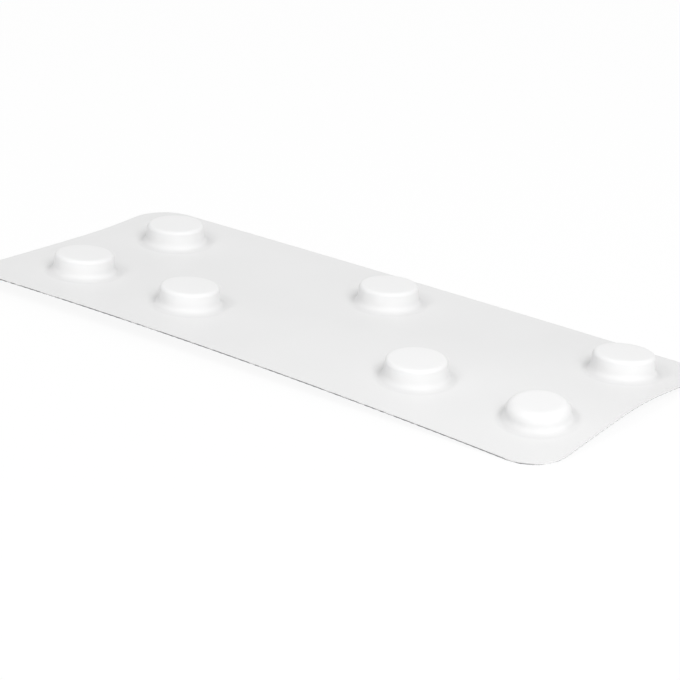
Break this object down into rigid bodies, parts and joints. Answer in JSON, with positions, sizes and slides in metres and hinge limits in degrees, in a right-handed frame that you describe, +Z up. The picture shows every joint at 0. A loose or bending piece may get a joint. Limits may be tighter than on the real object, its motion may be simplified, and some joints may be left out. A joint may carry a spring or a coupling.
{
  "type": "blister pack",
  "caption": "Rectangular blister pack of white formed film with round flat-topped sealed pockets in two rows, closed below by a lidding foil.",
  "frame": {"origin": "under the middle of the card, on the surface that the pack rests on", "axes": "+X along the length, +Y from the near long edge to the far one, +Z up out of the pocket side"},
  "size_m": [0.1124, 0.0486, 0.0055],
  "materials": {
    "white_film": "satin, opaque",
    "lidding_foil": "knurled by the sealing plate, plain"
  },
  "bodies": {
    "root": {"formed_film": "white_film", "lidding_foil": "lidding_foil"}
  },
  "joints": []
}
